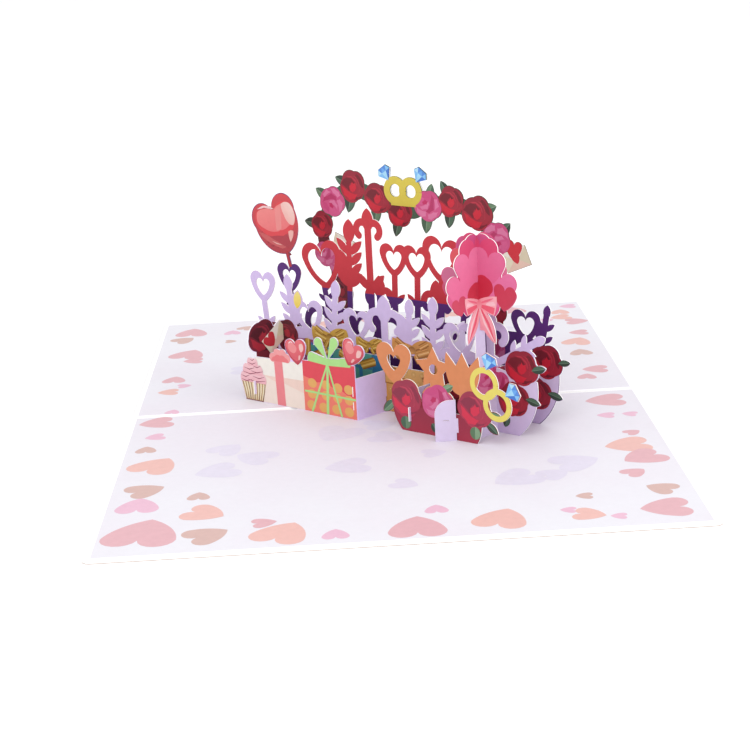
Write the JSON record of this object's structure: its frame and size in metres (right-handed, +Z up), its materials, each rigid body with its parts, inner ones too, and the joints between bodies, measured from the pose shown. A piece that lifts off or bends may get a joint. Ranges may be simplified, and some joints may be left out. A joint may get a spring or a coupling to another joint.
{
  "type": "pop up card",
  "caption": "Opened pop up greeting card: folded cover, two glued pages and a slotted lattice of upright cut card with flowers, gifts and hearts.",
  "frame": {"origin": "centre of the fold, on the cover's underside", "axes": "+X along the fold to the right, +Y from the front page to the back page, +Z up"},
  "size_m": [0.2, 0.3, 0.091],
  "materials": {
    "cover_card": "smooth white cover card",
    "front_liner": "printed page, pale lavender, matt",
    "back_liner": "printed page, pale lavender, matt",
    "gift_sheet": "printed card, white cut edge, matt",
    "rose_sheet": "printed card, white cut edge, matt",
    "lavender_sheet": "printed card, white cut edge, matt",
    "violet_sheet": "printed card, white cut edge, matt",
    "arch_sheet": "printed card, white cut edge, matt",
    "left_cross_sheet": "printed card, white cut edge, matt",
    "inner_cross_sheet": "lavender card, matt",
    "right_cross_sheet": "lavender card, matt",
    "bouquet_cross_sheet": "printed card, white cut edge, matt",
    "bouquet_fan_sheet": "printed card, white cut edge, matt",
    "anchor_tab": "pale lavender card, matt"
  },
  "bodies": {
    "root": {"cover_card": "cover_card", "front_liner": "front_liner", "back_liner": "back_liner", "gift_sheet": "gift_sheet", "rose_sheet": "rose_sheet", "lavender_sheet": "lavender_sheet", "violet_sheet": "violet_sheet", "arch_sheet": "arch_sheet", "left_cross_sheet": "left_cross_sheet", "inner_cross_sheet": "inner_cross_sheet", "right_cross_sheet": "right_cross_sheet", "bouquet_cross_sheet": "bouquet_cross_sheet", "bouquet_fan_sheet": "bouquet_fan_sheet", "anchor_tab": "anchor_tab"}
  },
  "joints": []
}
